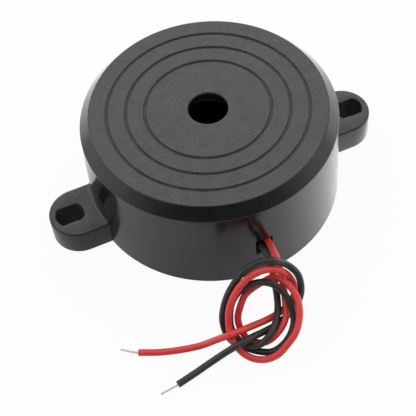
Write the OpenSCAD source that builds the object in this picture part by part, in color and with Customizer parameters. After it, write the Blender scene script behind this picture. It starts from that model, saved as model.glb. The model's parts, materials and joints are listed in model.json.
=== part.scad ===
// Round piezo buzzer with two slotted mounting ears and a pair of wire leads.
// The origin is the centre of the base, +X runs through the ears and the lead window faces -Y.

/* [Housing] */
// Diameter at the foot of the top chamfer
rim_d = 42; // [40:0.1:48]
// Growth of the radius from the chamfer's foot down to the base
base_flare = 0.35; // [0:0.05:0.6]
// Height of the body
body_h = 18.4; // [17:0.1:24]
// Width of the top chamfer
chamfer_w = 1.6; // [0.8:0.1:2]
// Height of the top chamfer
chamfer_h = 1.9; // [1:0.1:2.4]
// Thickness of the side wall
wall = 1.6; // [1.4:0.1:2]
// Thickness of the top
top_t = 2; // [1.4:0.1:2.6]
// Diameter of the sound hole
sound_hole_d = 6.5; // [4:0.1:10]
// Number of ring grooves in the top
groove_count = 3; // [0:1:3]
// Distance from the top face's edge to the middle of the outermost groove
groove_inset = 3; // [2:0.1:4]
// Distance from one groove to the next
groove_pitch = 3.1; // [2:0.1:3.6]
// Width of a groove at the top face
groove_w = 0.6; // [0.4:0.1:1.2]
// Width of a groove's floor
groove_floor_w = 0.3; // [0.1:0.1:0.5]
// Depth of a groove
groove_depth = 0.3; // [0.1:0.05:0.6]

/* [Ears] */
// Reach of an ear beyond the rim
ear_reach = 8.4; // [7.9:0.1:11]
// Thickness of an ear
ear_t = 4.8; // [2:0.1:8]
// Width of an ear, which ends in a half round
ear_w = 9.6; // [8:0.1:12]
// Radius of the fillet between the wall and the top of an ear
ear_fillet = 0.8; // [0.3:0.1:1.2]
// Distance from an ear's tip to the centre of its slot
slot_edge = 3.4; // [3.2:0.1:3.9]
// Width of a slot
slot_w = 3.5; // [2.4:0.1:4.2]
// Length of a slot
slot_l = 5; // [4.3:0.1:5.4]
// Radius of a slot's outer end
slot_outer_r = 3; // [2.6:0.1:6]
// Radius of a slot's inner end
slot_inner_r = 2.4; // [2.2:0.1:4]
// Reach of a slot's corner rounds past a plain round end
slot_corner = 0.3; // [0:0.05:0.45]

/* [Lead window] */
// Width of the window
window_w = 2.9; // [2.8:0.1:5]
// Height of the window
window_h = 3.5; // [3.2:0.1:4.5]
// Height of the window's sill above the base
window_z = 5.7; // [5.3:0.1:5.9]
// Offset of the window along X
window_x = -0.2; // [-0.3:0.05:0]

/* [Rear cover] */
// Thickness of the cover
cover_t = 1.6; // [1:0.1:2]
// Width of the shoulder that the cover sits against
cover_shoulder = 0.7; // [0.4:0.1:1]
// Clearance round the cover
cover_fit = 0.1; // [0.05:0.05:0.2]
// Height of the posts under the circuit board
post_h = 2.1; // [1.5:0.1:2.4]
// Diameter of a post
post_d = 2.4; // [1.6:0.1:3]
// Number of posts, and of ribs above them
post_count = 4; // [3:1:6]

/* [Sound element] */
// Height of the sound chamber above the plate
chamber_h = 2.9; // [1.5:0.1:3.5]
// Lap of the plate's edge on its ledge
seat_lap = 1; // [0.6:0.1:1.6]
// Clearance between the plate and the ribs
plate_fit = 0.5; // [0.5:0.1:0.8]
// Thickness of the brass plate
plate_t = 0.3; // [0.15:0.05:0.5]
// Width of the bare brass round the ceramic disc
ceramic_margin = 5; // [4.5:0.1:7]
// Thickness of the ceramic disc
ceramic_t = 0.25; // [0.15:0.05:0.4]
// Width of the silicone bead beside the plate
bead_w = 0.4; // [0.2:0.05:0.45]
// Depth of the silicone bead under the plate
bead_drop = 0.4; // [0.2:0.1:0.8]
// Lap of the silicone bead under the plate's edge
bead_lap = 0.8; // [0.4:0.1:1]

/* [Circuit board] */
// Thickness of the board
board_t = 1.2; // [0.8:0.1:1.3]
// Clearance between the board and the wall
board_fit = 0.8; // [0.4:0.1:0.9]
// Reach of a rib from the wall
rib_reach = 1.4; // [1.2:0.1:1.8]
// Width of a rib
rib_w = 2; // [1.2:0.1:3]
// Clearance round each leg in its hole
hole_fit = 0.15; // [0.1:0.05:0.3]
// Height of a solder joint under the board
solder_h = 0.9; // [0.5:0.1:1.3]
// Diameter of a solder joint at the board
solder_d = 1.7; // [1.3:0.1:1.8]
// Diameter of a solder joint at its end
solder_tip_d = 1; // [0.95:0.05:1.2]
// Clearance between a solder joint and its leg
solder_fit = 0.02; // [0.01:0.01:0.05]

/* [Transistor] */
// Place of the transistor on the board
transistor_at = [8, -4]; // [-9:0.5:9]
// Diameter of the body
transistor_d = 4.6; // [4.4:0.1:5.2]
// Distance from the axis to the flat side
transistor_flat = 1.3; // [0.8:0.1:2]
// Clearance between the body and the ceramic disc above it
transistor_top_gap = 2.35; // [1.5:0.05:3]
// Height of the body above the board
transistor_lift = 1.2; // [0.5:0.1:1.4]
// Diameter of a component's leg
leg_d = 0.5; // [0.4:0.05:0.6]
// Distance between the transistor's legs
leg_pitch = 1.9; // [1.85:0.05:1.95]

/* [Choke] */
// Place of the choke on the board
choke_at = [-8, 2]; // [-9:0.5:9]
// Diameter of the ferrite core's flanges
choke_d = 7; // [6:0.1:7.5]
// Clearance between the ferrite core and the ceramic disc above it
choke_top_gap = 2.55; // [1.5:0.05:3]
// Thickness of a flange
choke_flange = 1; // [0.6:0.1:1.4]
// Diameter of the core's post
choke_post_d = 3.2; // [2:0.1:4]
// Depth of the winding's surface below the flange's edge
winding_inset = 0.4; // [0.2:0.1:0.8]
// Distance between the choke's two pins
choke_pin_pitch = 4.4; // [3:0.1:5]

/* [Resistors and diode] */
// Place of the bias resistor on the board
bias_at = [1, 5]; // [0.5:0.5:2]
// Place of the feedback resistor on the board
feedback_at = [0, 9.5]; // [-1:0.5:10]
// Diameter of a resistor's end caps
resistor_d = 2.3; // [2:0.1:2.6]
// Diameter of a resistor's waist
resistor_waist_d = 2; // [1.5:0.1:2]
// Length of a resistor
resistor_l = 6.2; // [5.5:0.1:6.8]
// Length of a resistor's end cap
resistor_cap_l = 1.4; // [0.8:0.1:2]
// Distance between a resistor's legs
resistor_span = 10; // [9:0.1:11]
// Place of the diode on the board
diode_at = [0, -5.5]; // [-6:0.5:1]
// Diameter of the diode
diode_d = 1.9; // [1.4:0.1:2.4]
// Length of the diode
diode_l = 3.8; // [3:0.1:5]
// Distance between the diode's legs
diode_span = 7.6; // [6.5:0.1:8]
// Clearance between a lying component and the board
rest_gap = 0.05; // [0.02:0.01:0.2]

/* [Jumper wires] */
// Diameter of a jumper wire
jumper_d = 0.7; // [0.5:0.05:0.8]
// Diameter of a solder joint on the sound element
dome_d = 1.6; // [1.2:0.1:2]
// Height of a solder joint on the sound element
dome_h = 0.5; // [0.3:0.1:0.7]
// Place of the plate wire's hole in the board
plate_wire_at = [12.5, 6]; // [5:0.5:13]
// Place of the drive wire's hole in the board
drive_wire_at = [0, 0.5]; // [-1:0.5:1]
// Place of the feedback wire's hole in the board
feedback_wire_at = [-8, -6]; // [-9:0.5:-5]

/* [Leads] */
// Outer diameter of a lead's insulation
lead_d = 1.1; // [0.9:0.05:1.1]
// Diameter of a lead's stranded conductor
conductor_d = 0.35; // [0.3:0.05:0.5]
// Bare length of a conductor at its free end
strip_l = 3; // [2:0.1:6]
// Distance of each lead's solder hole from the centre line
lead_hole_x = 3.7; // [3.4:0.1:4]
// Distance of the leads' solder holes in front of the centre
lead_hole_y = 10.4; // [10.2:0.1:10.6]

/* [Hidden] */
$fn = 96;
eps = 0.5;
sink = 0.02;

// Radii, from the outside in
rim_r = rim_d / 2;
base_r = rim_r + base_flare;
cavity_r = rim_r - wall;
rebate_r = cavity_r + cover_shoulder;
face_r = rim_r - chamfer_w;
rib_r = cavity_r - rib_reach;
board_r = cavity_r - board_fit;
plate_r = rib_r - plate_fit;
chamber_r = plate_r - seat_lap;
ceramic_r = plate_r - ceramic_margin;
post_r = board_r - post_d;

// Ears, along X
ear_r = ear_w / 2;
tip_x = rim_r + ear_reach;
slot_x = tip_x - slot_edge;

// Heights, from the base up
board_under = cover_t + post_h;
board_top = board_under + board_t;
solder_end = board_under - solder_h;
seat_z = body_h - top_t - chamber_h;
plate_under = seat_z - plate_t;
ceramic_under = plate_under - ceramic_t;
transistor_z = board_top + transistor_lift;
transistor_h = ceramic_under - transistor_top_gap - transistor_z;
choke_h = ceramic_under - choke_top_gap - board_top;

// Places of every leg and wire that passes through the board
transistor_holes = [for (k = [-1:1]) transistor_at + [0, k * leg_pitch]];
choke_holes = [for (s = [-1, 1]) choke_at + [s * choke_pin_pitch / 2, 0]];
bias_holes = axial_holes(bias_at, resistor_span);
feedback_holes = axial_holes(feedback_at, resistor_span);
diode_holes = axial_holes(diode_at, diode_span);
leg_holes = concat(transistor_holes, choke_holes, bias_holes, feedback_holes, diode_holes);
jumper_holes = [plate_wire_at, drive_wire_at, feedback_wire_at];
lead_holes = [[lead_hole_x, -lead_hole_y], [-lead_hole_x, -lead_hole_y]];

// Places where the jumpers meet the sound element
plate_joint = polar((plate_r - bead_lap + ceramic_r) / 2, 20);
drive_joint = polar(ceramic_r / 4, 145);
feedback_joint = polar(ceramic_r - dome_d, 205);

// Each lead runs from the board straight out of the window, and its loops lean from there to the ground
red_route = [
    [3.5, -12, 5.5], [2.6, -14.5, 6.2], [1, -17.4, 7.5], [0.5, -20.1, 8.1], [0.4, -22.7, 8.3],
    [0.3, -25.2, 7.7], [0, -27.2, 5.5], [-0.8, -29.8, 4.4], [-1.9, -32.3, 3.5], [-3.8, -33.7, 2.7],
    [-6.2, -33.9, 1.6], [-8.1, -32.4, 1.2], [-8.7, -30.5, 1.8], [-8.6, -29.1, 3.2], [-7.7, -28.2, 4.9],
    [-6.4, -27.3, 6], [-4.7, -27, 6.7], [-3, -27, 7.2], [-1.5, -27.3, 7.8], [-0.4, -28.4, 7.5],
    [0.2, -29.9, 7.3], [0.4, -31.6, 6.6], [0, -33.2, 5.8], [-0.8, -34.6, 5], [-2.1, -35.9, 4.2],
    [-3.7, -36.5, 3.1], [-5.3, -36.8, 1.9], [-7.1, -36.4, 1], [-8.7, -35.4, 0.7], [-9.9, -34.2, 1.2],
    [-10.6, -32.9, 2.1], [-10.8, -31.3, 2.8], [-10.4, -29.7, 3.8], [-9.8, -28.6, 5.6], [-8.6, -27.7, 7.3],
    [-7, -27, 8.6], [-5.2, -26.8, 9.7], [-3.3, -27.1, 10.6], [-1.4, -27.4, 10.1], [0.1, -27.9, 8.8],
    [1.1, -28.5, 6.6], [1, -29.5, 5], [0, -30.1, 3.3], [-1.8, -30.5, 2.6], [-3.9, -31, 2.8],
    [-7.3, -31.5, 3.6], [-10.9, -31.7, 4.1], [-13.1, -30.9, 2.8], [-15.5, -30, 1.3], [-18.6, -29, 0.7],
    [-21.5, -28, 0.6], [-24.6, -26.6, 0.6]
];
black_route = [
    [-3.5, -12, 5.5], [-2.8, -14.5, 6], [-1.5, -17.4, 6.9], [-0.9, -20.1, 7.4], [-0.6, -22.2, 7.6],
    [-0.6, -24.2, 6.9], [-0.9, -25.9, 5.1], [-1.5, -28.2, 4.4], [-2.4, -30.5, 3.9], [-3.8, -32.6, 3.7],
    [-5.5, -34, 3.3], [-7.2, -34.4, 2.6], [-8.8, -33.6, 2], [-9.7, -31.9, 1.7], [-10, -29.7, 1.9],
    [-9.6, -28.3, 3.4], [-8.7, -27.2, 5], [-7.2, -26.7, 6.6], [-5.7, -27.1, 8], [-3.9, -27.6, 8.4],
    [-2.4, -28.5, 8.2], [-1.3, -29.6, 7.1], [-0.8, -31.1, 6], [-0.8, -32.5, 4.8], [-1.2, -33.7, 3.7],
    [-2.4, -34.9, 2.6], [-4, -35.4, 1.3], [-5.8, -35.4, 0.7], [-7.6, -34.4, 0.6], [-9.1, -33, 0.6],
    [-10.4, -31.5, 0.6], [-10.9, -29.6, 1], [-10.8, -28.1, 2.5], [-10.1, -27.2, 4.7], [-8.9, -26.4, 6.6],
    [-7.2, -25.7, 8.3], [-5.4, -25.6, 10.1], [-3.3, -26, 11.4], [-1.3, -26.7, 11.4], [0.7, -27.1, 9.7],
    [1.8, -28.7, 8.6], [1.8, -30.1, 6.9], [1.2, -30.8, 4.8], [-0.1, -31.4, 3.3], [-1.6, -31.5, 2],
    [-3.6, -32.2, 2.2], [-5.8, -32.6, 2.5], [-8, -33.1, 3.3], [-10.2, -33.5, 3.5], [-12.2, -33.2, 2.3],
    [-14.7, -33.1, 1], [-17.7, -33.6, 0.6], [-21.1, -34.3, 0.6]
];
// Way that each bare end points once it is past its insulation
red_end_way = [-2, 1.7, -0.2];
black_end_way = [-3, -0.2, -0.3];

// Points and directions
function polar(r, a) = r * [cos(a), sin(a)];
function at_z(p, z) = [p.x, p.y, z];
function unit(v) = v / norm(v);
function last(p) = p[len(p) - 1];
function axial_holes(at, span) = [for (s = [-1, 1]) at + [s * span / 2, 0]];

// Sweep of a round tube along a route, with one ring of points on each route point
tube_sides = 8;
function tangent(p, i) = unit(p[min(i + 1, len(p) - 1)] - p[max(i - 1, 0)]);
function across(v, t) = unit(v - t * (v * t));
function first_across(t) = across(abs(t.z) < 0.8 ? [0, 0, 1] : [1, 0, 0], t);
function normals(p) = [
    for (i = 0, n = first_across(tangent(p, 0)); i < len(p);
         i = i + 1, n = i < len(p) ? across(n, tangent(p, i)) : n) n
];
function ring(c, n, t, r) = [
    for (k = [0:tube_sides - 1]) let (a = 360 * k / tube_sides) c + r * (n * cos(a) + cross(t, n) * sin(a))
];

module tube(p, d) {
    n = normals(p);
    s = tube_sides;
    points = [for (i = [0:len(p) - 1]) each ring(p[i], n[i], tangent(p, i), d / 2)];
    sides = [
        for (i = [0:len(p) - 2], k = [0:s - 1]) let (a = i * s + k, b = i * s + (k + 1) % s)
            each [[a, a + s, b], [b, a + s, b + s]]
    ];
    start_cap = [for (k = [0:s - 1]) k];
    end_cap = [for (k = [s - 1:-1:0]) (len(p) - 1) * s + k];
    polyhedron(points, concat(sides, [start_cap, end_cap]));
}

// Solid of revolution between two radii
module washer(outer, inner, z0, z1) {
    rotate_extrude() polygon([[inner, z0], [outer, z0], [outer, z1], [inner, z1]]);
}

module both_ends() {
    children();
    mirror([1, 0, 0]) children();
}

// Radius of the tapered wall at a height
function wall_r(z) = base_r - base_flare * z / (body_h - chamfer_h);

// Housing, moulded in one piece
module body_outside() {
    rotate_extrude() polygon([
        [0, 0], [base_r, 0], [rim_r, body_h - chamfer_h], [face_r, body_h], [0, body_h]
    ]);
}

module body_inside() {
    translate([0, 0, -eps]) cylinder(r = rebate_r, h = cover_t + eps);
    cylinder(r = cavity_r, h = seat_z);
    cylinder(r = chamber_r, h = body_h - top_t);
    cylinder(d = sound_hole_d, h = body_h + eps);
}

module groove(r) {
    rotate_extrude() polygon([
        [r - groove_w / 2, body_h], [r - groove_floor_w / 2, body_h - groove_depth],
        [r + groove_floor_w / 2, body_h - groove_depth], [r + groove_w / 2, body_h],
        [r + groove_w / 2, body_h + eps], [r - groove_w / 2, body_h + eps]
    ]);
}

module ear() {
    translate([cavity_r, -ear_r, 0]) cube([tip_x - ear_r - cavity_r, ear_w, ear_t]);
    translate([tip_x - ear_r, 0, 0]) cylinder(r = ear_r, h = ear_t);
}

// Ring with a hollow edge, kept where it lies on the ear
module ear_fillet_band() {
    foot = wall_r(ear_t + ear_fillet) - sink;
    reach = wall / 2 + ear_fillet;
    intersection() {
        rotate_extrude() difference() {
            translate([foot - wall / 2, ear_t / 2]) square([reach, ear_t / 2 + ear_fillet - sink]);
            translate([foot + ear_fillet, ear_t + ear_fillet - sink]) circle(ear_fillet);
        }
        translate([0, -ear_r, 0]) cube([tip_x, ear_w, body_h]);
    }
}

module slot() {
    corner_x = slot_l / 2 - slot_w / 2 + slot_corner;
    h = ear_t + 2 * eps;
    translate([slot_x, 0, -eps]) intersection() {
        union() {
            for (s = [-1, 1]) translate([s * corner_x, 0, 0]) cylinder(d = slot_w, h = h);
            translate([-corner_x, -slot_w / 2, 0]) cube([2 * corner_x, slot_w, h]);
        }
        translate([slot_l / 2 - slot_outer_r, 0, 0]) cylinder(r = slot_outer_r, h = h);
        translate([slot_inner_r - slot_l / 2, 0, 0]) cylinder(r = slot_inner_r, h = h);
    }
}

module window() {
    translate([window_x - window_w / 2, -base_r - eps, window_z])
        cube([window_w, base_r - cavity_r + 2 * eps, window_h]);
}

module rib(a) {
    rotate(a) translate([rib_r, -rib_w / 2, board_top])
        cube([rib_reach + wall / 2, rib_w, seat_z + top_t / 2 - board_top]);
}

function post_angle(k) = 360 * (k + 0.5) / post_count;

module housing() {
    color("#3a3938") union() {
        difference() {
            union() {
                body_outside();
                both_ends() {
                    ear();
                    ear_fillet_band();
                }
            }
            body_inside();
            for (k = [0:1:groove_count - 1]) groove(face_r - groove_inset - k * groove_pitch);
            both_ends() slot();
            window();
        }
        for (k = [0:post_count - 1]) rib(post_angle(k));
    }
}

module rear_cover() {
    color("#2b2b2b") union() {
        cylinder(r = rebate_r - cover_fit, h = cover_t);
        for (k = [0:post_count - 1]) rotate(post_angle(k)) translate([post_r, 0, 0])
            cylinder(d = post_d, h = board_under);
    }
}

// Sound element
module diaphragm_plate() {
    color("#c8a34a") translate([0, 0, plate_under]) cylinder(r = plate_r, h = plate_t);
}

module piezo_ceramic() {
    color("#d8d4c8") translate([0, 0, ceramic_under]) cylinder(r = ceramic_r, h = ceramic_t);
}

module mounting_bead() {
    color("#e6e4df") rotate_extrude() polygon([
        [plate_r, seat_z], [plate_r + bead_w, seat_z], [plate_r, plate_under - bead_drop],
        [plate_r - bead_lap, plate_under], [plate_r, plate_under]
    ]);
}

// Circuit board and what is soldered to it
module holes(list, d) {
    for (p = list) translate(at_z(p, board_under - eps)) cylinder(d = d + 2 * hole_fit, h = board_t + 2 * eps);
}

module circuit_board() {
    color("#b98a4e") difference() {
        translate([0, 0, board_under]) cylinder(r = board_r, h = board_t);
        holes(leg_holes, leg_d);
        holes(jumper_holes, jumper_d);
        holes(lead_holes, conductor_d);
    }
}

module solder_cone(d) {
    difference() {
        cylinder(d1 = solder_tip_d, d2 = solder_d, h = solder_h);
        translate([0, 0, -eps]) cylinder(d = d + 2 * solder_fit, h = solder_h + 2 * eps);
    }
}

module board_solder() {
    color("#b9bbbd") union() {
        for (p = leg_holes) translate(at_z(p, solder_end)) solder_cone(leg_d);
        for (p = jumper_holes) translate(at_z(p, solder_end)) solder_cone(jumper_d);
        for (p = lead_holes) translate(at_z(p, solder_end)) solder_cone(conductor_d);
    }
}

module straight_leg(p, top) {
    translate(at_z(p, solder_end)) cylinder(d = leg_d, h = top - solder_end);
}

module transistor_body() {
    color("#232323") translate(at_z(transistor_at, transistor_z)) difference() {
        cylinder(d = transistor_d, h = transistor_h);
        translate([transistor_flat, -transistor_d, -eps])
            cube([transistor_d, 2 * transistor_d, transistor_h + 2 * eps]);
    }
}

module transistor_legs() {
    color("#c9cacb") for (p = transistor_holes) straight_leg(p, transistor_z);
}

module choke_core() {
    r = choke_d / 2;
    post = choke_post_d / 2;
    top = choke_h - choke_flange;
    color("#4a4644") translate(at_z(choke_at, board_top)) rotate_extrude() polygon([
        [0, 0], [r, 0], [r, choke_flange], [post, choke_flange],
        [post, top], [r, top], [r, choke_h], [0, choke_h]
    ]);
}

module choke_winding() {
    color("#b5652b") translate(at_z(choke_at, board_top))
        washer(choke_d / 2 - winding_inset, choke_post_d / 2, choke_flange, choke_h - choke_flange);
}

module choke_pins() {
    color("#c9cacb") for (p = choke_holes) straight_leg(p, board_top);
}

// Body lies along X on the board, and each leg turns down into its hole
module axial_legs(at, span, length, d) {
    z = board_top + rest_gap + d / 2;
    for (s = [-1, 1]) {
        end = at + [s * span / 2, 0];
        inner = at.x + s * length / 2;
        translate([min(inner, end.x), at.y, z]) rotate([0, 90, 0]) cylinder(d = leg_d, h = abs(end.x - inner));
        translate(at_z(end, z)) sphere(d = leg_d);
        straight_leg(end, z);
    }
}

module resistor(at) {
    waist_l = resistor_l - 2 * resistor_cap_l;
    translate(at_z(at, board_top + rest_gap + resistor_d / 2)) rotate([0, 90, 0]) {
        cylinder(d = resistor_waist_d, h = waist_l, center = true);
        for (s = [-1, 1]) translate([0, 0, s * (waist_l + resistor_cap_l) / 2])
            cylinder(d = resistor_d, h = resistor_cap_l, center = true);
    }
}

module bias_resistor() {
    color("#d9b98c") union() resistor(bias_at);
}

module bias_resistor_legs() {
    color("#c9cacb") axial_legs(bias_at, resistor_span, resistor_l, resistor_d);
}

module feedback_resistor() {
    color("#d9b98c") union() resistor(feedback_at);
}

module feedback_resistor_legs() {
    color("#c9cacb") axial_legs(feedback_at, resistor_span, resistor_l, resistor_d);
}

module diode_body() {
    color("#8c3a22") translate(at_z(diode_at, board_top + rest_gap + diode_d / 2))
        rotate([0, 90, 0]) cylinder(d = diode_d, h = diode_l, center = true);
}

module diode_legs() {
    color("#c9cacb") axial_legs(diode_at, diode_span, diode_l, diode_d);
}

// Jumper from a hole in the board to a joint on the sound element
function jumper_route(from, to, z_to) = let (rise = (z_to - board_top) / 4) [
    at_z(from, solder_end), at_z(from, board_top + rise),
    at_z((from + to) / 2, board_top + 2 * rise),
    at_z(to, board_top + 3 * rise), at_z(to, z_to)
];

module plate_wire() {
    color("#2f6fb0") tube(jumper_route(plate_wire_at, plate_joint, plate_under - dome_h), jumper_d);
}

module drive_wire() {
    color("#b03030") tube(jumper_route(drive_wire_at, drive_joint, ceramic_under - dome_h), jumper_d);
}

module feedback_wire() {
    color("#d8c23a") tube(jumper_route(feedback_wire_at, feedback_joint, ceramic_under - dome_h), jumper_d);
}

module dome(p, z) {
    translate(at_z(p, z - dome_h)) cylinder(d1 = jumper_d, d2 = dome_d, h = dome_h);
}

module element_solder() {
    color("#b9bbbd") union() {
        dome(plate_joint, plate_under);
        dome(drive_joint, ceramic_under);
        dome(feedback_joint, ceramic_under);
    }
}

// Leads
module red_lead() {
    color("#c03030") tube(red_route, lead_d);
}

module black_lead() {
    color("#303030") tube(black_route, lead_d);
}

// Bare end inside, from the cut insulation down through the board
function inner_end(p, hole) = let (back = unit(p[0] - p[1])) [
    p[0], p[0] + back * conductor_d,
    [hole.x, hole.y - conductor_d / 2, board_top + conductor_d / 2],
    at_z(hole, board_top - hole_fit), at_z(hole, solder_end)
];

// Bare end outside, straight out of the insulation and then along its own way
function outer_end(p, way) = let (start = last(p), out = last(p) - p[len(p) - 2]) [
    start, start + unit(out) * conductor_d, start + unit(out) * conductor_d + unit(way) * (strip_l - conductor_d)
];

module conductor(p, hole, way) {
    tube(inner_end(p, hole), conductor_d);
    tube(outer_end(p, way), conductor_d);
}

module red_conductor() {
    color("#b8b8ba") conductor(red_route, lead_holes[0], red_end_way);
}

module black_conductor() {
    color("#b8b8ba") conductor(black_route, lead_holes[1], black_end_way);
}

housing();
rear_cover();
diaphragm_plate();
piezo_ceramic();
mounting_bead();
circuit_board();
transistor_body();
transistor_legs();
choke_core();
choke_winding();
choke_pins();
bias_resistor();
bias_resistor_legs();
feedback_resistor();
feedback_resistor_legs();
diode_body();
diode_legs();
plate_wire();
drive_wire();
feedback_wire();
board_solder();
element_solder();
red_lead();
black_lead();
red_conductor();
black_conductor();
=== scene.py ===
"""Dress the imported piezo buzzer: moulded housing, two wire leads, inner parts, studio and camera."""

import json
import logging
import math
from dataclasses import dataclass
from enum import Enum
from typing import Callable, Iterator, Optional, Sequence

import bmesh
import bpy
from mathutils import Matrix, Vector

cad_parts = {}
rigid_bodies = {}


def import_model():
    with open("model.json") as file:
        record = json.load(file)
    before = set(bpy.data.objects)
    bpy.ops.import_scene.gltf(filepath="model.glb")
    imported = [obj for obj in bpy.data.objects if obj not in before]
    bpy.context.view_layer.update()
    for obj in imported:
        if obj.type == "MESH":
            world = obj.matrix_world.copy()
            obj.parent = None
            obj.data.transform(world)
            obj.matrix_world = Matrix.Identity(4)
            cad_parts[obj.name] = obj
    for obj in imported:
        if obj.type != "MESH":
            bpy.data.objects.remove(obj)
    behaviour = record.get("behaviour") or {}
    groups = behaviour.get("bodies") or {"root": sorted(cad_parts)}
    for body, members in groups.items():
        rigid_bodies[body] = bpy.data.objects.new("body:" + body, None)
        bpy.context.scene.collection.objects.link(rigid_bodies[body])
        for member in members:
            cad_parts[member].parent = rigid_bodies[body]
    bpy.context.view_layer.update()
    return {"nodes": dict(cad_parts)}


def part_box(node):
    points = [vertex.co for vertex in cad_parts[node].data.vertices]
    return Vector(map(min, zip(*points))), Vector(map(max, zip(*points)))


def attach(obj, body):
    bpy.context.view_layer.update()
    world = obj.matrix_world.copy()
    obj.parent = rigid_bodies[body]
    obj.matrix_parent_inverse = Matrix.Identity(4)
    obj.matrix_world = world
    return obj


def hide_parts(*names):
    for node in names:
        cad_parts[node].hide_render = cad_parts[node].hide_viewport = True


LOG = logging.getLogger("buzzer")
MM = 0.001
BODY = "root"

Colour = tuple[float, float, float]
Triple = tuple[float, float, float]
Pair = tuple[float, float]
Loop = list[Vector]
Socket = bpy.types.NodeSocket


def linear(red: int, green: int, blue: int) -> Colour:
    """Turn a display colour into the linear one that shaders take.

    Args:
        red: Red from 0 to 255.
        green: Green from 0 to 255.
        blue: Blue from 0 to 255.

    Returns:
        The three linear values.
    """
    def channel(value: int) -> float:
        """Undo the display curve of one channel."""
        share = value / 255
        return share / 12.92 if share <= 0.04045 else ((share + 0.055) / 1.055) ** 2.4

    return channel(red), channel(green), channel(blue)


class Wiring:
    """Short calls that add nodes to one tree and join them."""

    MIX_INPUTS = (0, 6, 7)
    MIX_OUTPUT = 2

    def __init__(self, tree: bpy.types.NodeTree) -> None:
        """Keep the tree that the calls work on."""
        self.tree = tree

    def add(self, kind: str, values: Optional[dict] = None, **settings: object) -> bpy.types.Node:
        """Add one node.

        Args:
            kind: The node's type name.
            values: Values or source sockets by input name or number.
            settings: Plain properties of the node.

        Returns:
            The new node.
        """
        node = self.tree.nodes.new(kind)
        for name, value in settings.items():
            setattr(node, name, value)
        for key, value in (values or {}).items():
            if isinstance(value, Socket):
                self.tree.links.new(value, node.inputs[key])
            else:
                node.inputs[key].default_value = value
        return node

    def math(self, operation: str, first: object, second: object = 0.0) -> Socket:
        """Add a Math node and give its output."""
        return self.add("ShaderNodeMath", {0: first, 1: second}, operation=operation).outputs[0]

    def ramp(self, value: object, start: float, end: float, low: float, high: float) -> Socket:
        """Map a value smoothly from start..end to low..high and give the output."""
        levels = {"From Min": start, "From Max": end, "To Min": low, "To Max": high}
        node = self.add("ShaderNodeMapRange", {"Value": value, **levels}, interpolation_type="SMOOTHSTEP")
        return node.outputs[0]

    def blend(self, factor: object, first: object, second: object) -> Socket:
        """Mix two colours and give the output."""
        node = self.add("ShaderNodeMix", data_type="RGBA")
        sockets = [node.inputs[k] for k in self.MIX_INPUTS]
        for socket, value in zip(sockets, (factor, first, second)):
            if isinstance(value, Socket):
                self.tree.links.new(value, socket)
            elif isinstance(value, tuple):
                socket.default_value = (*value, 1.0)
            else:
                socket.default_value = value
        return node.outputs[self.MIX_OUTPUT]


def shader_group(name: str, inputs: dict[str, float],
                 outputs: Sequence[str]) -> tuple[Wiring, bpy.types.Node, bpy.types.Node]:
    """Start a shader node group whose sockets are all plain values.

    Args:
        name: The group's name.
        inputs: Default value of each input by name.
        outputs: Name of each output.

    Returns:
        The group's wiring, its input node and its output node.
    """
    tree = bpy.data.node_groups.new(name, "ShaderNodeTree")
    for label, value in inputs.items():
        socket = tree.interface.new_socket(label, in_out="INPUT", socket_type="NodeSocketFloat")
        socket.default_value = value
    for label in outputs:
        tree.interface.new_socket(label, in_out="OUTPUT", socket_type="NodeSocketFloat")
    wiring = Wiring(tree)
    return wiring, wiring.add("NodeGroupInput"), wiring.add("NodeGroupOutput")


GRAIN_GROUP = "skin grain"
GRAIN_SIZES = {"Grain Size": 0.2 * MM, "Patch Size": 2.0 * MM}
FINE_SHARE = 0.6
TONE_SPAN = (0.32, 0.68)


def grain_group() -> bpy.types.NodeTree:
    """Give the group for a moulded or cast skin: fine grain as height, broad patches as tone."""
    if GRAIN_GROUP in bpy.data.node_groups:
        return bpy.data.node_groups[GRAIN_GROUP]
    wiring, given, result = shader_group(GRAIN_GROUP, GRAIN_SIZES, ("Height", "Tone"))
    place = wiring.add("ShaderNodeTexCoord").outputs["Object"]
    fine_scale = wiring.math("DIVIDE", 1.0, given.outputs["Grain Size"])
    patch_scale = wiring.math("DIVIDE", 1.0, given.outputs["Patch Size"])
    fine = wiring.add("ShaderNodeTexNoise", {"Vector": place, "Scale": fine_scale, "Detail": 2.0})
    patch = wiring.add("ShaderNodeTexNoise", {"Vector": place, "Scale": patch_scale, "Detail": 3.0})
    fine_part = wiring.math("MULTIPLY", fine.outputs[0], FINE_SHARE)
    patch_part = wiring.math("MULTIPLY", patch.outputs[0], 1 - FINE_SHARE)
    tone = wiring.ramp(wiring.math("ADD", fine_part, patch_part), *TONE_SPAN, 0.0, 1.0)
    wiring.tree.links.new(fine.outputs[0], result.inputs["Height"])
    wiring.tree.links.new(tone, result.inputs["Tone"])
    return wiring.tree


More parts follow.
